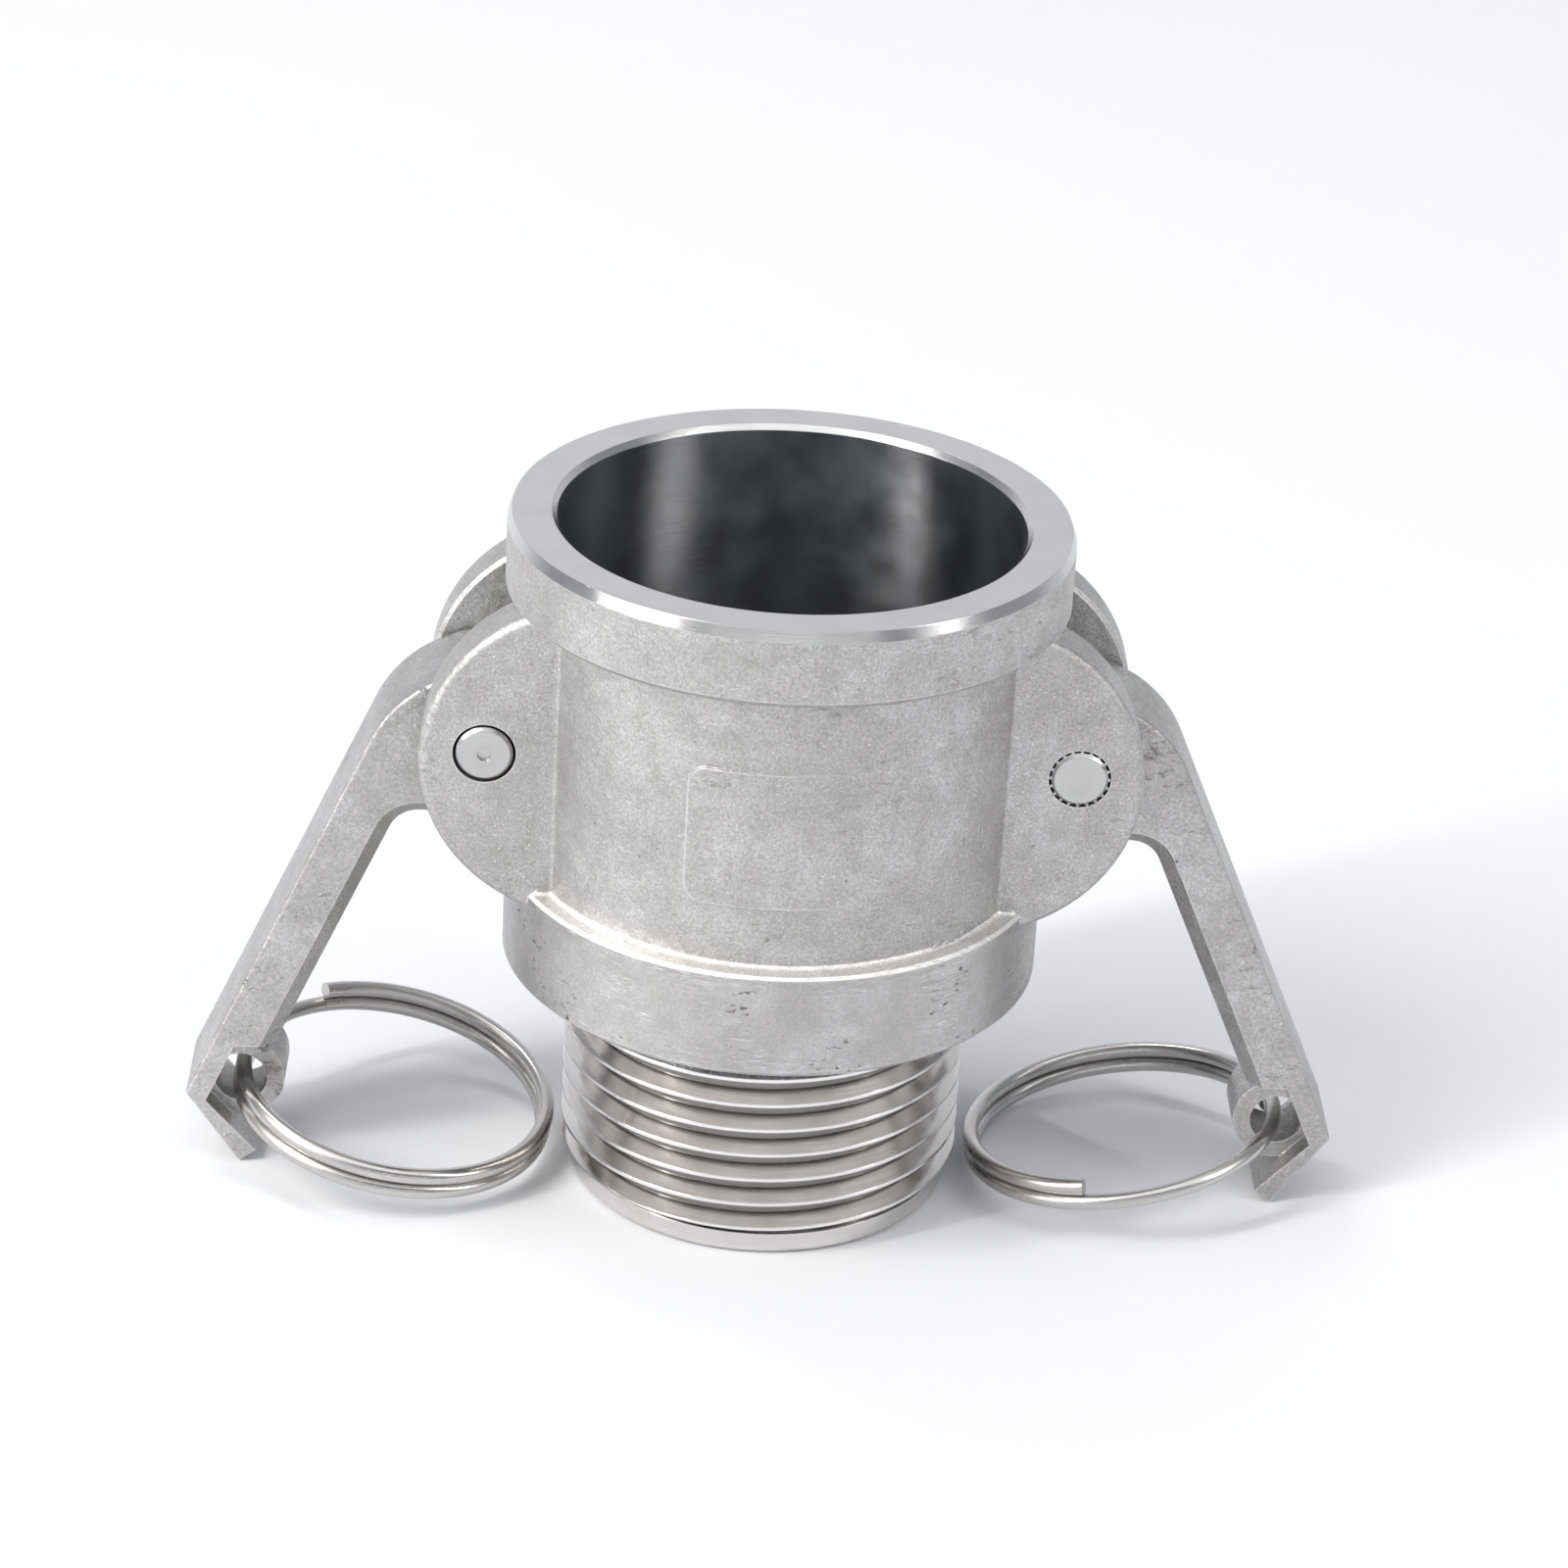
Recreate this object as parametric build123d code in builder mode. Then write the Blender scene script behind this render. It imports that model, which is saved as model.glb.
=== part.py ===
from build123d import *
from math import cos, hypot, isclose, radians, sin, tan
import os

# A 1 inch camlock coupler, type B: a socket with two cam arms above a male pipe thread.
# Millimetres. +Z runs up the coupler's axis, and the origin is the middle of the thread's end face.
# The arms stand at -X and +X, and both pivot pins lie along Y.

# ---- body, outside ----
BODY_H = 58.9
RIM_R = 22.57
RIM_FOOT_Z = 52.5
RIM_BEVEL_W = 0.35
RIM_BEVEL_H = 0.9
BARREL_R = 20.3
LEDGE_Z = 29.1
LEDGE_EDGE = 0.25
LEDGE_FILLET = 0.5  # where the barrel runs out into the ledge
SHOULDER_R = 21.98
SHOULDER_Z = 20.1
SOFT_EDGE = 0.5  # the casting's rounded edges
CORE_LIP = 0.2  # the core's short cone up to the neck
OVERCUT = 1.0  # how far a cutter reaches past what it cuts

# ---- the faint blank panel on the front of the barrel, raised on its left and level on its right ----
PANEL_X = (-7.5, 5.2)
PANEL_Z = (34.3, 45.9)
PANEL_CORNER_R = 1.5
PANEL_SHIFT = 0.55
PANEL_SHIFT_DEG = 194.0

# ---- body, inside ----
SOCKET_R = 18.65
SOCKET_LEAD_IN = 0.45
GROOVE_R = 19.95
GROOVE_TOP_Z = 27.9
SEAT_Z = 21.3
BORE_R = 12.5
BORE_CHAMFER = 0.5

# ---- male thread: 11 to the inch, 55 degrees, parallel ----
THREAD_R = 33.249 / 2
THREAD_DEPTH = 1.479
THREAD_PITCH = 25.4 / 11
CREST_W = 0.3
FLANK_DEG = 27.5
RIDGE_ROOT = 0.3  # how far the ridge reaches into the core
THREAD_TOP_Z = 18.8
NECK_R = 14.95
PILOT_R = 15.75
PILOT_H = 1.9
PILOT_CHAMFER = 0.35

# ---- ears ----
EAR_IN_Y = 4.82
EAR_OUT_Y = 9.66
EAR_R = 13.71
EAR_X = 15.06
EAR_Z = 40.59
EAR_ROUND = 0.8
EAR_INNER_CHAMFER = 0.3
CORNER_TOL = 0.01
EAR_BLEND = 0.5  # where an ear's outer face runs into the barrel
SLOT_IN_X = 14.0  # the cam's slot through the socket wall
SLOT_Z0 = 31.5
SLOT_Z1 = 46.9
SLOT_CORNER_R = 1.0

# ---- gasket ----
GASKET_R = 19.85
GASKET_HOLE_R = 13.5
GASKET_H = 6.35
GASKET_ROUND = 0.5

# ---- pivot pins ----
PIN_X = 23.54
PIN_Z = 41.42
PIN_R = 2.28
PIN_HALF_L = 9.85
PIN_CHAMFER = 0.25
PLAIN_HOLE_R = 2.5
KNURL_HOLE_R = 2.47
KNURL_TEETH = 20
KNURL_TOOTH = 0.28  # how far a tooth stands out of the pin
KNURL_L = 4.6
PIN_DIMPLE_R = 0.55
PIN_DIMPLE_H = 0.25
ARM_HOLE_R = 2.35

# ---- cam arms, as they stand at rest ----
ARM_LEAN_DEG = 24.0  # from the coupler's axis
ARM_HALF_W = 4.5
SPINE_TOP = Vector(32.9, 39.6)  # x and z where the straight spine meets the round heel
SPINE_L = 36.3
SPINE_T = 1.8
HEEL_R = 10.8
WEB_T = 4.85
WEB_END_Z = 11.0  # where the web stops and the eye begins
WEB_CHAMFER = 1.2  # along the web's two inner edges
SPINE_ROUND = 0.35
CAM_HUB_R = 4.6
CAM_REACH_X = 16.1
CAM_SOLE_Z = 33.0
CAM_NOSE_R = 2.2
CAM_NOSE_RISE = 1.6  # from the sole's corner up to the nose
CAM_SOLE_INSET = 2.0  # from the nose back to the sole's corner, and from the pin out to its end
CAM_TOP_Z = 60.0  # above anything the cam's outline is cut to
CROTCH_R = 2.6
FOOT_BEND_DEG = 59.0  # how far the foot turns inward from the spine's line
FOOT_L = 7.7
FOOT_T = 1.7
EYE_X = 43.3
EYE_Z = 7.0
EYE_R = 3.65
EYE_HOLE_R = 2.2
EYE_HALF_W = 2.5
LUG_REACH = 10.0  # how far the eye's lug may reach along the arm and inward

# ---- pull rings ----
WIRE_R = 0.675
RING_R = 12.8  # to the middle of the wire
COIL_GAP = 0.06
RING_SAG = 0.3  # how far the wire sits below the middle of the eye
# Each ring's slope down towards the thread, roll and turn about the eye, in degrees,
# and the angles where its coil starts and ends.
LEFT_RING = {"slope": 10.5, "roll": 4.0, "turn": 0.0, "start": 152.0, "end": 844.0}
RIGHT_RING = {"slope": 11.2, "roll": -2.6, "turn": -2.5, "start": 15.0, "end": 615.0}


def along(angle_deg):
    """The unit vector at an angle in a plane, counterclockwise from its first axis."""
    return Vector(cos(radians(angle_deg)), sin(radians(angle_deg)))


def turned(*corners):
    """A solid turned about Z, from the (radius, height) corners of its half section."""
    with BuildPart() as solid:
        with BuildSketch(Plane.XZ):
            with BuildLine():
                Polyline(*corners, close=True)
            make_face()
        revolve(axis=Axis.Z)
    return solid.part


def ear_plate(side, face):
    """One of the four round ears, soft along both edges of its outline."""
    with BuildPart() as ear:
        with BuildSketch(Plane.XZ.offset(face * EAR_IN_Y)):
            with Locations((side * EAR_X, EAR_Z)):
                Circle(EAR_R)
        extrude(amount=face * (EAR_OUT_Y - EAR_IN_Y))
        rims = ear.edges().filter_by(GeomType.CIRCLE).sort_by(lambda edge: abs(edge.center().Y))
        fillet(rims[-1], EAR_ROUND)
        rims = ear.edges().filter_by(GeomType.CIRCLE).sort_by(lambda edge: abs(edge.center().Y))
        chamfer(rims[0], EAR_INNER_CHAMFER)
    return ear.part


def thread_ridge():
    """The thread's helical ridge, trimmed to the pilot below and to a 45 degree run-out above."""
    spread = tan(radians(FLANK_DEG))
    root = THREAD_DEPTH + RIDGE_ROOT
    crest = CREST_W / 2
    foot = crest + THREAD_DEPTH * spread
    with BuildPart() as ridge:
        with BuildLine() as helix:
            Helix(THREAD_PITCH, THREAD_TOP_Z + THREAD_PITCH, THREAD_R, center=(0, 0, -THREAD_PITCH / 2))
        with BuildSketch(Plane(helix.line @ 0, x_dir=(1, 0, 0), z_dir=helix.line % 0)):
            with BuildLine():
                Polyline((0, -crest), (0, crest), (-root, foot), (-root, -foot), close=True)
            make_face()
        sweep(is_frenet=True)
        rise = THREAD_R - PILOT_R
        envelope = turned(
            (0, PILOT_H),
            (PILOT_R, PILOT_H),
            (THREAD_R + 0.01, PILOT_H + rise),
            (THREAD_R + 0.01, THREAD_TOP_Z - THREAD_DEPTH),
            (THREAD_R - THREAD_DEPTH, THREAD_TOP_Z),
            (0, THREAD_TOP_Z),
        )
        add(envelope, mode=Mode.INTERSECT)
    return ridge.part


def pin_hole(side, face, radius):
    """A cutter for one ear's pin hole."""
    with BuildPart() as cutter:
        with BuildSketch(Plane.XZ.offset(face * (EAR_IN_Y - OVERCUT))):
            with Locations((side * PIN_X, PIN_Z)):
                Circle(radius)
        extrude(amount=face * (EAR_OUT_Y - EAR_IN_Y + 2 * OVERCUT))
    return cutter.part


def blank_panel():
    """The panel: a slice of the barrel's own cylinder, shifted sideways so that one end stands out."""
    middle = (sum(PANEL_X) / 2, sum(PANEL_Z) / 2)
    shift = along(PANEL_SHIFT_DEG) * PANEL_SHIFT
    with BuildPart() as panel:
        with BuildSketch(Plane.XZ):
            with Locations(middle):
                RectangleRounded(PANEL_X[1] - PANEL_X[0], PANEL_Z[1] - PANEL_Z[0], PANEL_CORNER_R)
        extrude(amount=BARREL_R + OVERCUT)
        with BuildSketch(Plane.XY.offset(PANEL_Z[0] - OVERCUT), mode=Mode.PRIVATE) as shifted:
            with Locations((shift.X, shift.Y)):
                Circle(BARREL_R)
        extrude(shifted.sketch, amount=PANEL_Z[1] - PANEL_Z[0] + 2 * OVERCUT, mode=Mode.INTERSECT)
    return panel.part


def body_shell():
    """The casting's outside without its ears, still solid, with the thread's core."""
    core_r = THREAD_R - THREAD_DEPTH
    outline = turned(
        (0, 0),
        (PILOT_R - PILOT_CHAMFER, 0),
        (PILOT_R, PILOT_CHAMFER),
        (PILOT_R, PILOT_H),
        (core_r, PILOT_H),
        (core_r, THREAD_TOP_Z - CORE_LIP),
        (NECK_R, THREAD_TOP_Z),
        (NECK_R, SHOULDER_Z),
        (SHOULDER_R - SOFT_EDGE, SHOULDER_Z),
        (SHOULDER_R, SHOULDER_Z + SOFT_EDGE),
        (SHOULDER_R, LEDGE_Z - LEDGE_EDGE),
        (SHOULDER_R - LEDGE_EDGE, LEDGE_Z),
        (BARREL_R, LEDGE_Z),
        (BARREL_R, RIM_FOOT_Z),
        (RIM_R - SOFT_EDGE, RIM_FOOT_Z),
        (RIM_R, RIM_FOOT_Z + SOFT_EDGE),
        (RIM_R, BODY_H - RIM_BEVEL_H),
        (RIM_R - RIM_BEVEL_W, BODY_H),
        (0, BODY_H),
    )
    with BuildPart() as shell:
        add(outline)
        ledge_edges = shell.edges().filter_by_position(Axis.Z, LEDGE_Z, LEDGE_Z)
        fillet(ledge_edges.sort_by(SortBy.RADIUS)[0], LEDGE_FILLET)
    return shell.part


def is_ear_corner(place):
    """Whether a place lies on one of the four upright corners between an ear and the barrel."""
    on_face = isclose(abs(place.Y), EAR_OUT_Y, abs_tol=CORNER_TOL)
    return on_face and isclose(hypot(place.X, place.Y), BARREL_R, abs_tol=CORNER_TOL)


def body_cavity():
    """The socket, the gasket's groove and the bore, as one cutter."""
    return turned(
        (0, -OVERCUT),
        (BORE_R + BORE_CHAMFER, -OVERCUT),
        (BORE_R + BORE_CHAMFER, 0),
        (BORE_R, BORE_CHAMFER),
        (BORE_R, SEAT_Z),
        (GROOVE_R, SEAT_Z),
        (GROOVE_R, GROOVE_TOP_Z),
        (SOCKET_R, GROOVE_TOP_Z),
        (SOCKET_R, BODY_H - SOCKET_LEAD_IN),
        (SOCKET_R + SOCKET_LEAD_IN, BODY_H),
        (SOCKET_R + SOCKET_LEAD_IN, BODY_H + OVERCUT),
        (0, BODY_H + OVERCUT),
    )


def make_body():
    """The cast body: rim, socket, four ears, shoulder and male thread.

    A pin's knurl is gripped by the front ear on the right and by the back ear on the left.
    """
    sides = [(side, face) for side in (-1, 1) for face in (-1, 1)]
    ears = [ear_plate(side, face) for side, face in sides]
    holes = [pin_hole(side, face, KNURL_HOLE_R if face == side else PLAIN_HOLE_R) for side, face in sides]
    slot_x = (SLOT_IN_X + PIN_X) / 2
    slot_z = (SLOT_Z0 + SLOT_Z1) / 2
    solids = [body_shell(), *ears, thread_ridge(), blank_panel()]
    cavity = body_cavity()
    with BuildPart() as body:
        add(solids)
        corners = body.edges().filter_by(Axis.Z).filter_by(lambda edge: is_ear_corner(edge.center()))
        fillet(corners, EAR_BLEND)
        with BuildSketch(Plane.XZ.offset(-EAR_IN_Y)):
            with Locations((slot_x, slot_z), (-slot_x, slot_z)):
                RectangleRounded(PIN_X - SLOT_IN_X, SLOT_Z1 - SLOT_Z0, SLOT_CORNER_R)
        extrude(amount=2 * EAR_IN_Y, mode=Mode.SUBTRACT)
        add(cavity, mode=Mode.SUBTRACT)
        add(holes, mode=Mode.SUBTRACT)
    return body.part


def make_gasket():
    """The sealing ring in the socket's groove."""
    with BuildPart() as gasket:
        with BuildSketch(Plane.XZ):
            with Locations(((GASKET_R + GASKET_HOLE_R) / 2, SEAT_Z + GASKET_H / 2)):
                RectangleRounded(GASKET_R - GASKET_HOLE_R, GASKET_H, GASKET_ROUND)
        revolve(axis=Axis.Z)
    return gasket.part


def make_pin(side):
    """A pivot pin with one plain end and one knurled end that is pressed into its ear."""
    with BuildPart() as pin:
        with BuildSketch(Plane.XZ.offset(-side * PIN_HALF_L)):
            with Locations((side * PIN_X, PIN_Z)):
                Circle(PIN_R)
        extrude(amount=side * 2 * PIN_HALF_L)
        chamfer(pin.edges().filter_by(GeomType.CIRCLE), PIN_CHAMFER)
        with BuildSketch(Plane.XZ.offset(side * (PIN_HALF_L - KNURL_L))):
            with Locations((side * PIN_X, PIN_Z)):
                with PolarLocations(PIN_R, KNURL_TEETH):
                    RegularPolygon(KNURL_TOOTH, 3)
        extrude(amount=side * (KNURL_L - PIN_CHAMFER))
        with BuildSketch(Plane.XZ.offset(-side * PIN_HALF_L)):
            with Locations((side * PIN_X, PIN_Z)):
                Circle(PIN_DIMPLE_R)
        extrude(amount=side * PIN_DIMPLE_H, mode=Mode.SUBTRACT)
    return pin.part


def slab(outline, half_width):
    """A sketch of x and z, thickened evenly on both sides of the plane Y = 0."""
    with BuildPart() as thick:
        with BuildSketch(Plane.XZ.offset(-half_width)):
            add(outline)
        extrude(amount=2 * half_width)
    return thick.part


def cam_outline():
    """The cam: a hub round the pin and a flat-soled nose that reaches into the socket."""
    nose = (CAM_REACH_X + CAM_NOSE_R, CAM_SOLE_Z + CAM_NOSE_R + CAM_NOSE_RISE)
    sole_start = (CAM_REACH_X + CAM_NOSE_R + CAM_SOLE_INSET, CAM_SOLE_Z + CAM_NOSE_R)
    sole_end = (PIN_X + CAM_SOLE_INSET, CAM_SOLE_Z + CAM_NOSE_R)
    with BuildSketch() as cam:
        with Locations((PIN_X, PIN_Z)):
            Circle(CAM_HUB_R)
        with Locations(nose, sole_start, sole_end):
            Circle(CAM_NOSE_R)
        make_hull()
    return cam.sketch


def heel_outline():
    """The round heel between the cam and the spine, cut off level with the cam's sole."""
    centre = SPINE_TOP + along(ARM_LEAN_DEG + 180) * HEEL_R
    with BuildSketch() as heel:
        with Locations((centre.X, centre.Y)):
            Circle(HEEL_R)
        with Locations((centre.X, CAM_SOLE_Z)):
            Rectangle(2 * HEEL_R, CAM_TOP_Z - CAM_SOLE_Z, align=(Align.MIN, Align.MIN), mode=Mode.INTERSECT)
    return heel.sketch


def web_outline():
    """The thick straight web behind the spine, cut off level above the eye."""
    down = along(ARM_LEAN_DEG - 90)
    web_top = SPINE_TOP + along(ARM_LEAN_DEG + 180) * WEB_T
    per_z = 1 / cos(radians(ARM_LEAN_DEG))
    outer_end = SPINE_TOP + down * (SPINE_TOP.Y - WEB_END_Z) * per_z
    inner_end = web_top + down * (web_top.Y - WEB_END_Z) * per_z
    with BuildSketch() as web:
        with BuildLine():
            Polyline(SPINE_TOP, outer_end, inner_end, web_top, close=True)
        make_face()
    return web.sketch


def spine_bend():
    """The corner where the spine turns into the foot."""
    return SPINE_TOP + along(ARM_LEAN_DEG - 90) * SPINE_L


def strap_outline():
    """The thin strap down the arm's outside: the straight spine and the foot bent inward from its end."""
    inward = along(ARM_LEAN_DEG + 180)
    bend = spine_bend()
    toe = bend + along(ARM_LEAN_DEG - 90 - FOOT_BEND_DEG) * FOOT_L
    toe_in = toe + along(ARM_LEAN_DEG + 180 - FOOT_BEND_DEG) * FOOT_T
    with BuildSketch() as strap:
        with BuildLine():
            Polyline(
                SPINE_TOP,
                bend,
                toe,
                toe_in,
                bend + inward * SPINE_T,
                SPINE_TOP + inward * SPINE_T,
                close=True,
            )
        make_face()
    return strap.sketch


def lug_outline():
    """The ring's eye, round towards the thread and cut off along the strap."""
    eye = Vector(EYE_X, EYE_Z)
    bend = spine_bend()
    up_spine = bend - along(ARM_LEAN_DEG - 90) * LUG_REACH
    down_foot = bend + along(ARM_LEAN_DEG - 90 - FOOT_BEND_DEG) * FOOT_L
    with BuildSketch() as lug:
        with Locations((EYE_X, EYE_Z)):
            Circle(EYE_R)
        with BuildLine():
            Polyline(bend, up_spine, eye - Vector(LUG_REACH, 0), down_foot, close=True)
        make_face(mode=Mode.INTERSECT)
        with Locations((EYE_X, EYE_Z)):
            Circle(EYE_HOLE_R, mode=Mode.SUBTRACT)
    return lug.sketch


def make_arm(side):
    """A cast cam arm: cam and hub, a straight web with its spine, the ring's eye and the bent foot."""
    outlines = [cam_outline(), heel_outline(), web_outline()]
    strap = strap_outline()
    with BuildSketch() as blade:
        add(outlines)
        crotch = blade.vertices().sort_by_distance((SPINE_TOP.X - CROTCH_R, CAM_SOLE_Z, 0))[0]
        fillet(crotch, CROTCH_R)
        add(strap)
    bend = spine_bend()
    down = along(ARM_LEAN_DEG - 90)
    spine_line = Axis((bend.X, 0, bend.Y), (down.X, 0, down.Y))
    with BuildPart() as blade_slab:
        add(slab(blade.sketch, ARM_HALF_W))
        long_edges = blade_slab.edges().filter_by(spine_line).sort_by(SortBy.LENGTH)
        chamfer(long_edges[-4:-2], WEB_CHAMFER)
        fillet(long_edges[-2:], SPINE_ROUND)
    lug = slab(lug_outline(), EYE_HALF_W)
    with BuildPart() as arm:
        add(blade_slab.part)
        add(lug)
        with BuildSketch(Plane.XZ.offset(-ARM_HALF_W - OVERCUT)):
            with Locations((PIN_X, PIN_Z)):
                Circle(ARM_HOLE_R)
        extrude(amount=2 * (ARM_HALF_W + OVERCUT), mode=Mode.SUBTRACT)
    return arm.part if side > 0 else arm.part.rotate(Axis.Z, 180)


def make_ring(side, lie):
    """A split pull ring: a flat coil of round wire through the arm's eye, lying as its entry above says."""
    pitch = 2 * WIRE_R + COIL_GAP
    turns = (lie["end"] - lie["start"]) / 360
    eye_deg = 180 if side < 0 else 0
    at_eye = [(angle - lie["start"]) / 360 for angle in (eye_deg, eye_deg + 360, eye_deg + 720)]
    at_eye = [turn * pitch for turn in at_eye if 0 <= turn <= turns]
    eye_level = sum(at_eye) / len(at_eye)
    with BuildPart() as ring:
        with BuildLine() as coil:
            Helix(pitch, turns * pitch, RING_R)
        with BuildSketch(Plane(coil.line @ 0, z_dir=coil.line % 0)):
            Circle(WIRE_R)
        sweep(is_frenet=True)
    eye = Pos(side * EYE_X, 0, EYE_Z - RING_SAG)
    tilt = Rot(0, 0, lie["turn"]) * Rot(0, -side * lie["slope"], 0) * Rot(lie["roll"], 0, 0)
    return eye * tilt * Pos(-side * RING_R, 0, -eye_level) * Rot(0, 0, lie["start"]) * ring.part


def write(part, node):
    """Labels a finished piece with its node's name and writes its STEP file."""
    part.label = node
    export_step(part, f"parts/{node}.step")


os.makedirs("parts", exist_ok=True)
write(make_body(), "coupler_body")
write(make_gasket(), "gasket")
for side, name in ((-1, "left"), (1, "right")):
    write(make_arm(side), f"cam_arm_{name}")
    write(make_pin(side), f"pivot_pin_{name}")
write(make_ring(-1, LEFT_RING), "pull_ring_left")
write(make_ring(1, RIGHT_RING), "pull_ring_right")
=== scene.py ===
import math

import bpy
from mathutils import Matrix, Vector


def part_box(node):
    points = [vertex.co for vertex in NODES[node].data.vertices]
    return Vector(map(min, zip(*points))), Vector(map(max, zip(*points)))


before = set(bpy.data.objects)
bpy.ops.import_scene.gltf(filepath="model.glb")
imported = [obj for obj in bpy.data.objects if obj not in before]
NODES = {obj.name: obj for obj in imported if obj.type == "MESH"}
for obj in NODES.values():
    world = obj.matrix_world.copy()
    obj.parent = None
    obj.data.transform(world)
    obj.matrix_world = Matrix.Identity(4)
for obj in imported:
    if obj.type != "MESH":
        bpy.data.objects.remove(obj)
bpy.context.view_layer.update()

# ---------------------------------------------------------------- where the object's parts are

MM = 0.001
SIDES = ("left", "right")

# The rim is read from the frame. The rest are the casting's own dimensions.
RIM_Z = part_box("coupler_body")[1].z
SOCKET_R = 18.65 * MM
BARREL_R = 20.3 * MM
SHOULDER_TOP_Z = 28.86 * MM
LEDGE_Z = 29.1 * MM
SHOULDER_R = 21.98 * MM
THREAD_TOP_Z = 18.8 * MM
ROOT_R = 15.146 * MM
CREST_R = 16.62 * MM

# How far a finish, or the ledge's painted highlight, reaches past the edge it is named for.
NECK_REACH = 0.4 * MM
RIM_REACH = 1.0 * MM
WALL_REACH = 1.6 * MM
MOUTH_REACH = 0.1 * MM
SHOULDER_REACH = 0.8 * MM
LEDGE_REACH = 0.3 * MM

# A face counts as facing the axis, or up, when its normal's part along that way passes these.
FACING_IN = -0.3
FACING_UP = 0.5

# ---------------------------------------------------------------- camera, floor and light

CAMERA_AZIMUTH = math.radians(-2.05)
CAMERA_ELEVATION = math.radians(26.41)
CAMERA_DISTANCE = 380.5 * MM
CAMERA_ROLL = math.radians(3.39)
CAMERA_LENS = 107.39
AIM = Vector((0.53, 0.0, 35.09)) * MM

FLOOR_COLOUR = (0.75, 0.76, 0.79)
SWEEP_FRONT = -3.0
SWEEP_BACK = 1.1
SWEEP_BEND_R = 0.6
SWEEP_BEND_STEPS = 24
SWEEP_TOP = 1.8
SWEEP_HALF_W = 1.8


def toward(azimuth, elevation):
    """The unit vector from the object toward a place. Azimuth is 0 at the front and grows to the right."""
    flat = math.cos(elevation)
    return Vector((math.sin(azimuth) * flat, -math.cos(azimuth) * flat, math.sin(elevation)))


def make_camera():
    """Looks down into the socket from the front, rolled a little."""
    back = toward(CAMERA_AZIMUTH, CAMERA_ELEVATION)
    right = (-back).cross(Vector((0, 0, 1))).normalized()
    up = right.cross(-back)
    turn, lift = math.cos(CAMERA_ROLL), math.sin(CAMERA_ROLL)
    rolled_right = turn * right + lift * up
    rolled_up = turn * up - lift * right
    data = bpy.data.cameras.new("camera")
    data.lens = CAMERA_LENS
    data.clip_start = 0.01
    data.clip_end = 20
    camera = bpy.data.objects.new("camera", data)
    bpy.context.scene.collection.objects.link(camera)
    axes = Matrix((rolled_right, rolled_up, back)).transposed().to_4x4()
    camera.matrix_world = Matrix.Translation(AIM + CAMERA_DISTANCE * back) @ axes
    bpy.context.scene.camera = camera


def make_sweep(material):
    """A pale paper sweep: flat floor, one bend, upright behind."""
    profile = [(SWEEP_FRONT, 0.0), (SWEEP_BACK - SWEEP_BEND_R, 0.0)]
    for step in range(1, SWEEP_BEND_STEPS + 1):
        angle = math.radians(90 * step / SWEEP_BEND_STEPS)
        y = SWEEP_BACK - SWEEP_BEND_R + SWEEP_BEND_R * math.sin(angle)
        profile.append((y, SWEEP_BEND_R * (1 - math.cos(angle))))
    profile.append((SWEEP_BACK, SWEEP_TOP))
    corners = [(x, y, z) for y, z in profile for x in (-SWEEP_HALF_W, SWEEP_HALF_W)]
    faces = [(2 * k, 2 * k + 1, 2 * k + 3, 2 * k + 2) for k in range(len(profile) - 1)]
    mesh = bpy.data.meshes.new("sweep")
    mesh.from_pydata(corners, [], faces)
    for face in mesh.polygons:
        face.use_smooth = True
    mesh.materials.append(material)
    sweep = bpy.data.objects.new("sweep", mesh)
    bpy.context.scene.collection.objects.link(sweep)


# Name, azimuth, elevation, distance, width, height, power and colour of each lamp.
LAMPS = [
    ("top_light", 0, 78, 1.6, 1.6, 1.4, 8.2, (1.0, 0.985, 0.975)),
    ("left_light", -64, 34, 1.1, 0.7, 0.9, 7.0, (1.0, 0.97, 0.94)),
    ("left_strip", -60, 34, 1.0, 0.05, 0.9, 5.6, (1.0, 0.97, 0.94)),
    ("right_light", 66, 34, 1.6, 0.8, 1.2, 4.6, (1.0, 0.97, 0.95)),
    ("right_strip", 64, 34, 1.5, 0.07, 1.2, 2.8, (1.0, 0.97, 0.95)),
    ("front_light", 0, 15, 1.7, 2.2, 0.16, 2.2, (1.0, 0.985, 0.975)),
    ("back_light", -131, 59, 1.6, 0.04, 0.5, 3.5, (1.0, 0.985, 0.96)),
]


def softbox(name, azimuth, elevation, distance, width, height, power, colour):
    """A rectangular soft light that faces the middle of the coupler, with its angles in degrees."""
    away = toward(math.radians(azimuth), math.radians(elevation))
    data = bpy.data.lights.new(name, "AREA")
    data.shape = "RECTANGLE"
    data.size = width
    data.size_y = height
    data.energy = power
    data.color = colour
    light = bpy.data.objects.new(name, data)
    light.location = AIM + distance * away
    light.rotation_mode = "QUATERNION"
    light.rotation_quaternion = (-away).to_track_quat("-Z", "Y")
    bpy.context.scene.collection.objects.link(light)


def make_world(strength):
    """Even pale light from all round, a little cooler than the lamps."""
    world = bpy.data.worlds.new("studio")
    world.use_nodes = True
    shade = world.node_tree.nodes["Background"]
    shade.inputs["Color"].default_value = (0.86, 0.92, 1.0, 1)
    shade.inputs["Strength"].default_value = strength
    bpy.context.scene.world = world


# ---------------------------------------------------------------- shader building blocks


QUARTER_TURN = 0.25
EDGE_COSINE = (0.995, 0.9)  # between the true normal and the rounded one: a flat, then an edge with the full painted highlight
UNDERSIDE = (-0.6, -0.1)  # the normal's upward part: no painted edge highlight, then the full one


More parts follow.
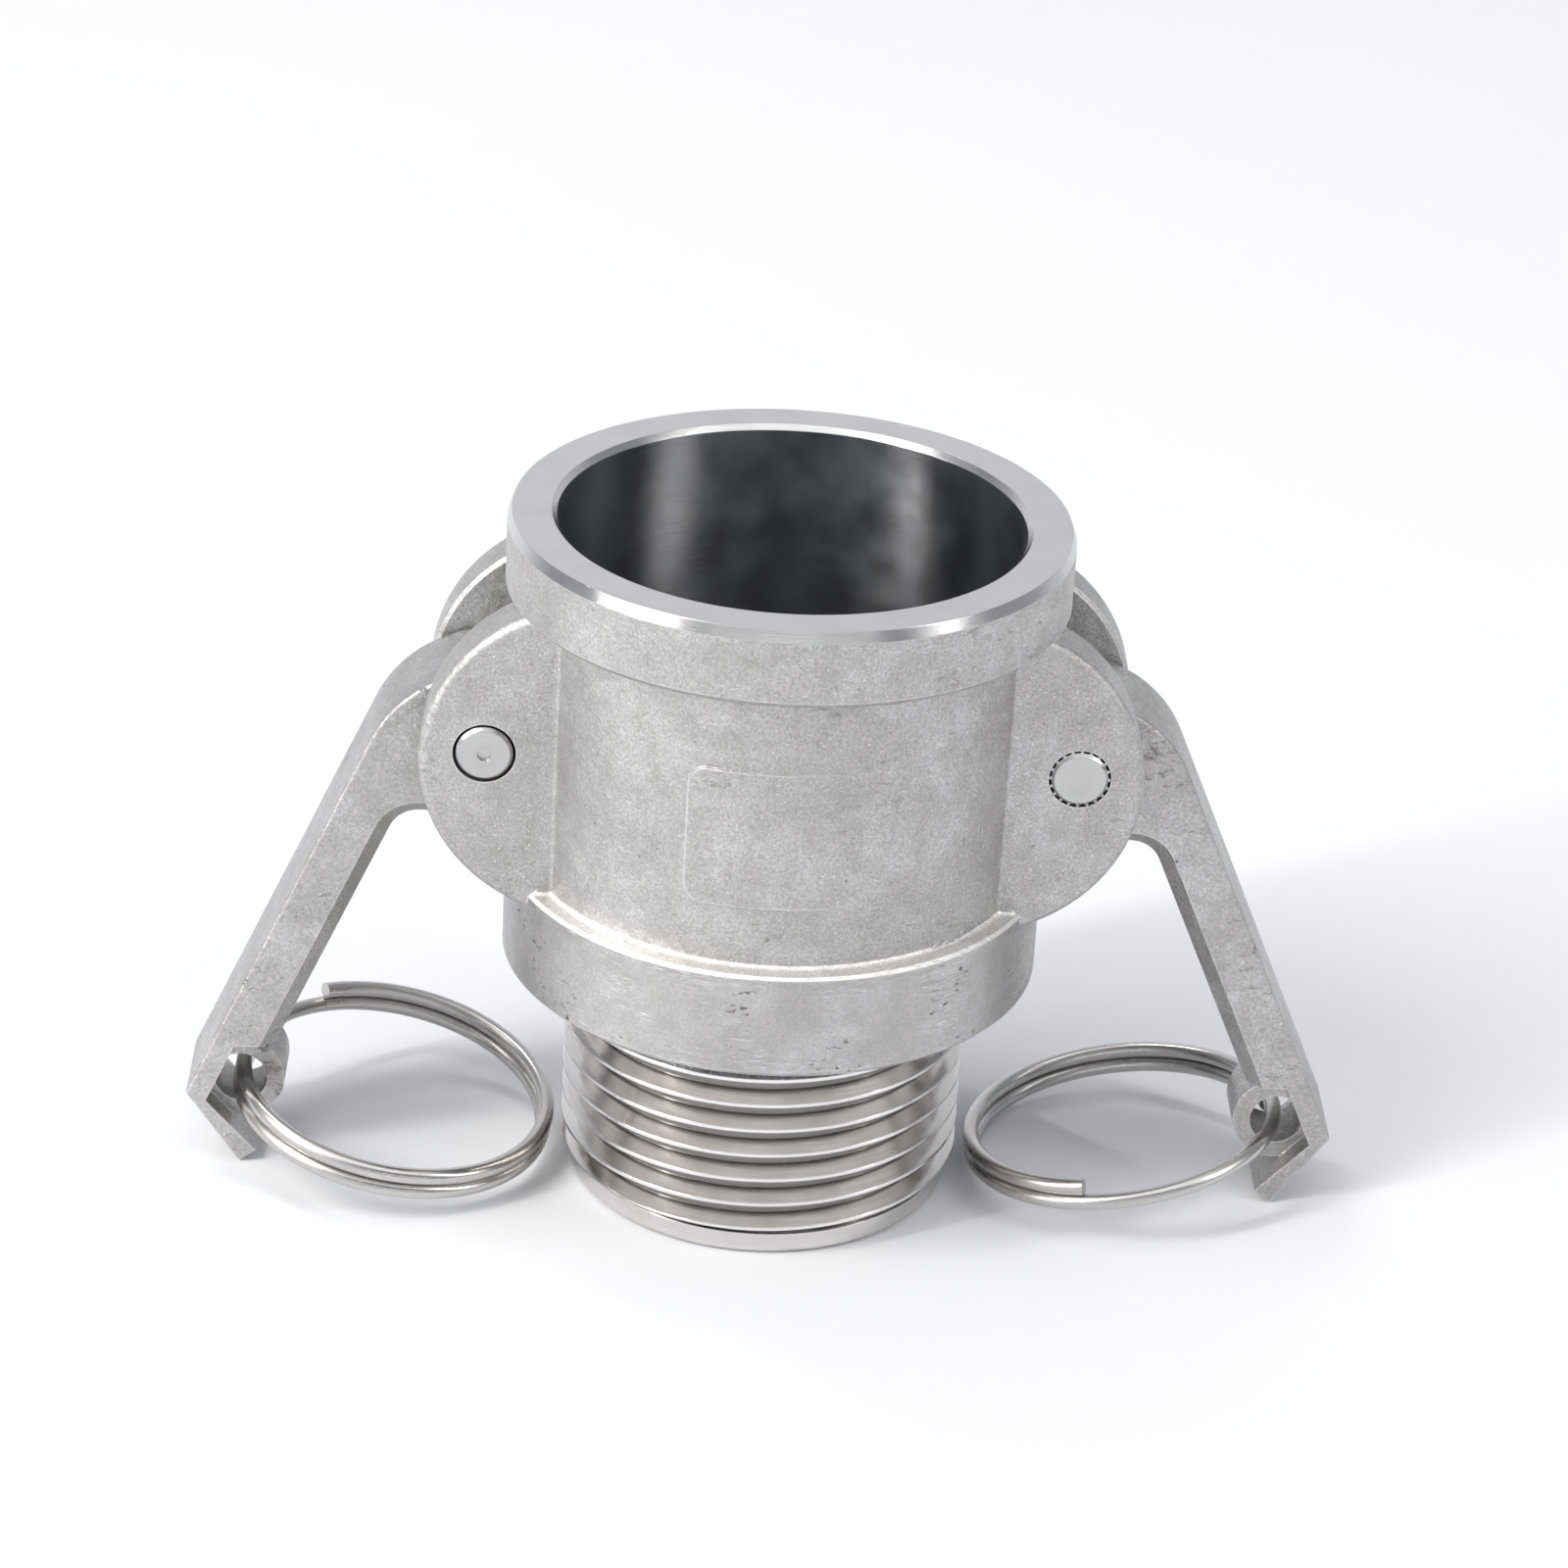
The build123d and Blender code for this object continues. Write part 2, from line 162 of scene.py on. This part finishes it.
class Shader:
    """A material under construction: each method adds one node and returns the socket it makes."""

    def __init__(self, name):
        self.material = bpy.data.materials.new(name)
        self.material.use_nodes = True
        self.tree = self.material.node_tree
        self.surface = self.tree.nodes["Principled BSDF"]
        self.place = self.tree.nodes.new("ShaderNodeTexCoord").outputs["Object"]

    def put(self, socket, value):
        if isinstance(value, bpy.types.NodeSocket):
            self.tree.links.new(value, socket)
        else:
            socket.default_value = value

    def new(self, kind, output=0, **settings):
        made = self.tree.nodes.new(kind)
        for key, value in settings.items():
            if key in made.inputs:
                self.put(made.inputs[key], value)
            else:
                setattr(made, key, value)
        return made.outputs[output]

    def math(self, operation, a, b=0.0):
        made = self.tree.nodes.new("ShaderNodeMath")
        made.operation = operation
        self.put(made.inputs[0], a)
        self.put(made.inputs[1], b)
        return made.outputs[0]

    def times(self, a, b):
        return self.math("MULTIPLY", a, b)

    def inverted(self, value):
        return self.math("SUBTRACT", 1.0, value)

    def mapped(self, scale, centre=(0, 0, 0)):
        """The object's coordinates about a centre, stretched by a scale along each axis."""
        shifted = self.tree.nodes.new("ShaderNodeVectorMath")
        shifted.operation = "SUBTRACT"
        self.put(shifted.inputs[0], self.place)
        shifted.inputs[1].default_value = centre
        scaled = self.tree.nodes.new("ShaderNodeVectorMath")
        scaled.operation = "MULTIPLY"
        self.put(scaled.inputs[0], shifted.outputs[0])
        scaled.inputs[1].default_value = scale
        return scaled.outputs[0]

    def length(self, vector):
        made = self.tree.nodes.new("ShaderNodeVectorMath")
        made.operation = "LENGTH"
        self.put(made.inputs[0], vector)
        return made.outputs["Value"]

    def noise(self, grain, detail=2.0, vector=None, rough=0.5):
        """Noise whose features are about one grain (in metres) across."""
        return self.new(
            "ShaderNodeTexNoise",
            Vector=self.place if vector is None else vector,
            Scale=1.0 / grain,
            Detail=detail,
            Roughness=rough,
        )

    def streaks(self, along, across, detail, rough):
        """Noise drawn out round the coupler: features are along long and across high (in metres)."""
        return self.noise(1.0, detail, self.mapped((1 / along, 1 / along, 1 / across)), rough)

    def ramp(self, value, low, high, out_low=0.0, out_high=1.0):
        """Goes smoothly from out_low to out_high as value goes from low to high."""
        made = self.tree.nodes.new("ShaderNodeMapRange")
        made.interpolation_type = "SMOOTHSTEP"
        self.put(made.inputs["Value"], value)
        made.inputs["From Min"].default_value = low
        made.inputs["From Max"].default_value = high
        self.put(made.inputs["To Min"], out_low)
        self.put(made.inputs["To Max"], out_high)
        return made.outputs[0]

    def blend(self, factor, a, b):
        """Colour a where factor is 0 and colour b where it is 1."""
        made = self.tree.nodes.new("ShaderNodeMix")
        made.data_type = "RGBA"
        sockets = {socket.identifier: socket for socket in made.inputs}
        self.put(sockets["Factor_Float"], factor)
        self.put(sockets["A_Color"], a)
        self.put(sockets["B_Color"], b)
        return next(socket for socket in made.outputs if socket.identifier == "Result_Color")

    def bump(self, height, depth, normal=None):
        """Height 0 to 1 becomes relief depth metres deep."""
        made = self.tree.nodes.new("ShaderNodeBump")
        made.inputs["Strength"].default_value = 1.0
        made.inputs["Distance"].default_value = depth
        self.put(made.inputs["Height"], height)
        if normal is not None:
            self.put(made.inputs["Normal"], normal)
        return made.outputs[0]

    def rounded(self, radius):
        """A shading normal that rounds every edge off by radius."""
        return self.new("ShaderNodeBevel", Radius=radius)

    def edges(self, radius):
        """1 at the object's edges and 0 on its flats and underneath: where the painted edge highlight
        goes, left off edges that face down, away from the lamps.
        """
        soft = self.rounded(radius)
        flat = self.new("ShaderNodeNewGeometry", output="Normal")
        made = self.tree.nodes.new("ShaderNodeVectorMath")
        made.operation = "DOT_PRODUCT"
        self.put(made.inputs[0], soft)
        self.put(made.inputs[1], flat)
        lit_share = self.ramp(made.outputs["Value"], *EDGE_COSINE, 0.0, 1.0)
        parts = self.tree.nodes.new("ShaderNodeSeparateXYZ")
        self.put(parts.inputs[0], flat)
        return self.times(lit_share, self.ramp(parts.outputs["Z"], *UNDERSIDE))

    def brush(self, amount):
        """Stretches highlights across marks that run round the coupler's axis."""
        round_axis = self.new("ShaderNodeTangent", direction_type="RADIAL", axis="Z")
        self.surface.inputs["Anisotropic"].default_value = amount
        self.surface.inputs["Anisotropic Rotation"].default_value = QUARTER_TURN
        self.put(self.surface.inputs["Tangent"], round_axis)

    def finish(self, colour, roughness, normal=None, metallic=1.0):
        self.put(self.surface.inputs["Base Color"], colour)
        self.put(self.surface.inputs["Roughness"], roughness)
        self.surface.inputs["Metallic"].default_value = metallic
        if normal is not None:
            self.put(self.surface.inputs["Normal"], normal)
        return self.material


def grey(value, warmth=0.0):
    """A grey of that brightness, redder for a positive warmth and bluer for a negative one."""
    return (value * (1 + warmth), value, value * (1 - warmth), 1)


# The stretch of a noise, which averages 0.5, over which a ramp goes from one end to the other.
WIDE = (0.3, 0.7)
BROAD = (0.35, 0.65)
PATCHY = (0.38, 0.66)
GRAINY = (0.36, 0.64)
SPARSE = (0.58, 0.74)

PIT = grey(0.13, 0.05)
SPECK = grey(0.18, 0.05)
GLINT = grey(0.93, 0.01)
# Colour of the painted highlight along upward-facing edges.
EDGE_HIGHLIGHT = grey(0.90, 0.01)


# ---------------------------------------------------------------- materials


def cast_steel(name, light, dark, scars=0.0, roughness=0.52):
    """Investment-cast stainless, blasted: fine sparkling grain, a faint orange peel and small pits, with a
    painted highlight along its edges.
    """
    s = Shader(name)
    tone = s.noise(9 * MM, 3)
    patch = s.noise(2.4 * MM, 4, rough=0.65)
    grain = s.noise(0.22 * MM, 3, rough=0.75)
    glint = s.noise(0.20 * MM, 2, rough=0.8)
    peel = s.noise(1.3 * MM, 2)
    cells = s.noise(0.5 * MM, 2, rough=0.6)
    wave = s.math("SUBTRACT", s.noise(0.75 * MM, 2, rough=0.7), 0.5)
    wisps = s.ramp(s.math("ABSOLUTE", wave), 0.0, 0.016, 1.0, 0.0)
    wisps = s.times(wisps, s.ramp(s.noise(1.8 * MM, 2), 0.48, 0.62))
    pits = s.ramp(s.noise(0.8 * MM, 4, rough=0.7), 0.69, 0.75)
    specks = s.ramp(s.noise(0.42 * MM, 3, rough=0.7), 0.68, 0.76)
    edge = s.edges(0.22 * MM)
    base = s.blend(s.ramp(tone, *BROAD), grey(dark, 0.026), grey(light, 0.014))
    base = s.blend(s.ramp(patch, *PATCHY, 0.0, 0.55), base, grey(dark * 0.80, 0.035))
    base = s.blend(s.ramp(grain, *GRAINY, 0.55, 0.0), base, grey(dark * 0.60, 0.02))
    base = s.blend(s.ramp(glint, *SPARSE, 0.0, 0.6), base, GLINT)
    base = s.blend(s.times(wisps, 0.42), base, grey(dark * 0.42, 0.04))
    base = s.blend(s.times(specks, 0.6), base, SPECK)
    base = s.blend(pits, base, PIT)
    # Painted highlight: upward-facing edges are lightened toward near white.
    base = s.blend(s.times(edge, 0.75), base, EDGE_HIGHLIGHT)
    rough = s.ramp(grain, *WIDE, roughness * 1.15, roughness * 0.85)
    rough = s.math("SUBTRACT", rough, s.times(edge, 0.16))
    rough = s.math("SUBTRACT", rough, s.ramp(glint, *SPARSE, 0.0, 0.12))
    shape = s.bump(peel, 0.10 * MM, s.rounded(0.09 * MM))
    shape = s.bump(cells, 0.07 * MM, shape)
    shape = s.bump(grain, 0.04 * MM, shape)
    shape = s.bump(s.inverted(wisps), 0.02 * MM, shape)
    if scars:
        scar = s.ramp(s.streaks(1.6 * MM, 0.7 * MM, 4, 0.65), 0.56, 0.68)
        scar = s.times(scar, s.ramp(s.noise(7 * MM, 1), 0.53, 0.64))
        shape = s.bump(scar, scars, shape)
        base = s.blend(s.times(scar, 0.5), base, grey(dark * 0.5, 0.04))
    shape = s.bump(s.inverted(pits), 0.10 * MM, shape)
    return s.finish(base, rough, shape)


def turned_steel(
    name, colour, roughness, across, groove, anisotropy, centre=(0, 0, 0), depth=0.004 * MM, warmth=0.008
):
    """Machined stainless: fine turning marks that vary only along the cutter's path."""
    s = Shader(name)
    path = s.math("DIVIDE", s.length(s.mapped(across, centre)), groove)
    lines = s.new("ShaderNodeTexNoise", noise_dimensions="1D", W=path, Detail=4.0, Roughness=0.7)
    smear = s.noise(4 * MM, 3)
    tone = s.blend(s.ramp(lines, *WIDE), grey(colour * 0.9, warmth), grey(colour * 1.06, warmth))
    tone = s.blend(s.ramp(smear, 0.35, 0.7, 0.0, 0.25), tone, grey(colour * 0.82, warmth))
    rough = s.ramp(smear, *WIDE, roughness * 0.85, roughness * 1.25)
    shape = s.bump(lines, depth, s.rounded(0.12 * MM))
    s.brush(anisotropy)
    return s.finish(tone, rough, shape)


def thread_steel(name, colour):
    """The cut thread: smooth warm flanks, painted shade in the roots and a thin painted highlight along
    the crests.
    """
    s = Shader(name)
    radius = s.length(s.mapped((1, 1, 0)))
    root_shade = s.ramp(radius, ROOT_R + 0.03 * MM, ROOT_R + 0.30 * MM, 0.85, 0.0)
    crest_highlight = s.ramp(radius, CREST_R - 0.10 * MM, CREST_R - 0.03 * MM, 0.0, 0.85)
    lines = s.streaks(9 * MM, 0.09 * MM, 3, 0.6)
    smear = s.noise(3.5 * MM, 3)
    tone = s.blend(s.ramp(lines, *WIDE), grey(colour * 0.92, 0.04), grey(colour * 1.06, 0.03))
    tone = s.blend(s.ramp(smear, 0.4, 0.7, 0.0, 0.35), tone, grey(colour * 0.78, 0.055))
    # Painted shade: the thread roots are darkened.
    tone = s.blend(root_shade, tone, grey(colour * 0.22, 0.06))
    # Painted highlight: a thin near-white line along the crests.
    tone = s.blend(crest_highlight, tone, grey(0.86, 0.01))
    rough = s.ramp(smear, *WIDE, 0.13, 0.20)
    s.brush(0.5)
    return s.finish(tone, rough, s.bump(lines, 0.004 * MM, s.rounded(0.13 * MM)))


def brushed_steel(name):
    """Linished cast stainless: short scratches round it, over the casting's own grain and pits, with a
    painted highlight along its edges.
    """
    s = Shader(name)
    long_streaks = s.streaks(5 * MM, 0.18 * MM, 3, 0.65)
    short_streaks = s.streaks(1.2 * MM, 0.10 * MM, 2, 0.6)
    tone = s.noise(7 * MM, 3)
    grain = s.noise(0.22 * MM, 3, rough=0.75)
    patch = s.noise(2.2 * MM, 4, rough=0.65)
    struck = s.ramp(s.noise(6 * MM, 2), 0.42, 0.60)
    clusters = s.ramp(s.noise(6.5 * MM, 1), 0.53, 0.62)
    holes = s.times(s.ramp(s.streaks(0.8 * MM, 0.45 * MM, 4, 0.65), 0.60, 0.66), clusters)
    dull = s.times(s.ramp(long_streaks, 0.4, 0.7, 0.0, 0.5), struck)
    bright = s.times(s.ramp(short_streaks, 0.54, 0.74, 0.0, 0.75), struck)
    base = s.blend(s.ramp(tone, *BROAD), grey(0.50, 0.025), grey(0.61, 0.014))
    base = s.blend(s.ramp(patch, *PATCHY, 0.0, 0.4), base, grey(0.39, 0.03))
    base = s.blend(s.ramp(grain, *GRAINY, 0.45, 0.0), base, grey(0.32, 0.02))
    base = s.blend(dull, base, grey(0.34, 0.02))
    base = s.blend(bright, base, grey(0.88, 0.0))
    base = s.blend(s.times(holes, 0.85), base, grey(0.10, 0.04))
    # Painted highlight: upward-facing edges are lightened toward near white.
    base = s.blend(s.times(s.edges(0.3 * MM), 0.5), base, grey(0.88, 0.01))
    shape = s.bump(patch, 0.06 * MM, s.rounded(0.2 * MM))
    shape = s.bump(grain, 0.03 * MM, shape)
    shape = s.bump(s.times(short_streaks, struck), 0.012 * MM, shape)
    shape = s.bump(s.inverted(holes), 0.10 * MM, shape)
    s.brush(0.4)
    return s.finish(base, s.ramp(short_streaks, *WIDE, 0.36, 0.50), shape)


def wire_steel(name):
    """Drawn spring wire, smooth and a little warm, with faint die lines and handling marks."""
    s = Shader(name)
    marks = s.noise(0.5 * MM, 2, rough=0.5)
    smear = s.noise(9 * MM, 2)
    tone = s.blend(s.ramp(marks, *WIDE), grey(0.53, 0.04), grey(0.57, 0.03))
    tone = s.blend(s.ramp(smear, 0.4, 0.75, 0.0, 0.3), tone, grey(0.42, 0.05))
    return s.finish(tone, s.ramp(smear, *WIDE, 0.22, 0.32), s.bump(marks, 0.0007 * MM))


def rubber(name):
    """Moulded nitrile rubber, matt black with a fine tooth."""
    s = Shader(name)
    tooth = s.noise(0.25 * MM, 3, rough=0.6)
    bloom = s.noise(5 * MM, 3)
    tone = s.blend(s.ramp(bloom, 0.35, 0.7), grey(0.018), grey(0.035))
    rough = s.ramp(tooth, *WIDE, 0.5, 0.7)
    return s.finish(tone, rough, s.bump(tooth, 0.02 * MM), metallic=0.0)


def paper(name):
    """Matt white paper with a barely visible tooth."""
    s = Shader(name)
    tooth = s.noise(2 * MM, 3)
    cloud = s.noise(250 * MM, 2)
    shaded = tuple(0.98 * channel for channel in FLOOR_COLOUR)
    tone = s.blend(s.ramp(cloud, *WIDE), (*FLOOR_COLOUR, 1), (*shaded, 1))
    return s.finish(tone, 0.85, s.bump(tooth, 0.02 * MM), metallic=0.0)


def paint_body(body):
    """Gives each zone of the casting the finish it was left with: cast, brushed or machined; the ledge's
    upward faces get a much lighter copy of the cast steel, a painted highlight for the top lamp.
    """
    finishes_and_highlight = [
        cast_steel("cast_steel", 0.63, 0.53, 0.05 * MM),
        turned_steel("faced_rim", 0.63, 0.19, (1, 1, 0), 0.10 * MM, 0.4),
        turned_steel("turned_socket", 0.60, 0.18, (0, 0, 1), 0.12 * MM, 0.95, warmth=-0.05),
        brushed_steel("brushed_shoulder"),
        thread_steel("cut_thread", 0.70),
        # Painted highlight: a much lighter copy of the cast steel for the ledge's upward faces.
        cast_steel("painted_highlight_ledge", 0.97, 0.92),
    ]
    cast, faced, socket, brushed, thread, ledge = range(6)
    mesh = body.data
    mesh.materials.clear()
    for material in finishes_and_highlight:
        mesh.materials.append(material)
    for face in mesh.polygons:
        x, y, z = face.center
        r = math.hypot(x, y)
        facing_in = face.normal.x * x + face.normal.y * y < FACING_IN * r
        at_wall = facing_in and r < SOCKET_R + WALL_REACH
        if z < THREAD_TOP_Z + NECK_REACH:
            zone = thread
        elif z > RIM_Z - RIM_REACH and r > SOCKET_R - MOUTH_REACH:
            zone = faced
        elif at_wall or r < SOCKET_R - MOUTH_REACH:
            zone = socket
        elif z < SHOULDER_TOP_Z and r > SHOULDER_R - SHOULDER_REACH:
            zone = brushed
        # Upward faces of the ledge get the painted highlight.
        elif z < LEDGE_Z + LEDGE_REACH and face.normal.z > FACING_UP and r > BARREL_R:
            zone = ledge
        else:
            zone = cast
        face.material_index = zone


def paint(node, material):
    mesh = NODES[node].data
    mesh.materials.clear()
    mesh.materials.append(material)


make_camera()
make_world(0.36)
make_sweep(paper("paper"))
for lamp in LAMPS:
    softbox(*lamp)

paint_body(NODES["coupler_body"])
arm_steel = cast_steel("cast_arm_steel", 0.62, 0.50, 0.14 * MM, 0.42)
bright_wire = wire_steel("bright_wire")
paint("gasket", rubber("nitrile_rubber"))
for side in SIDES:
    paint(f"cam_arm_{side}", arm_steel)
    paint(f"pull_ring_{side}", bright_wire)
    pin_low, pin_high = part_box(f"pivot_pin_{side}")
    middle = tuple((pin_low + pin_high) / 2)
    faced = turned_steel(f"faced_pin_{side}", 0.54, 0.20, (1, 0, 1), 0.30 * MM, 0.0, middle, 0.012 * MM)
    paint(f"pivot_pin_{side}", faced)

bpy.context.scene.view_settings.view_transform = "Standard"
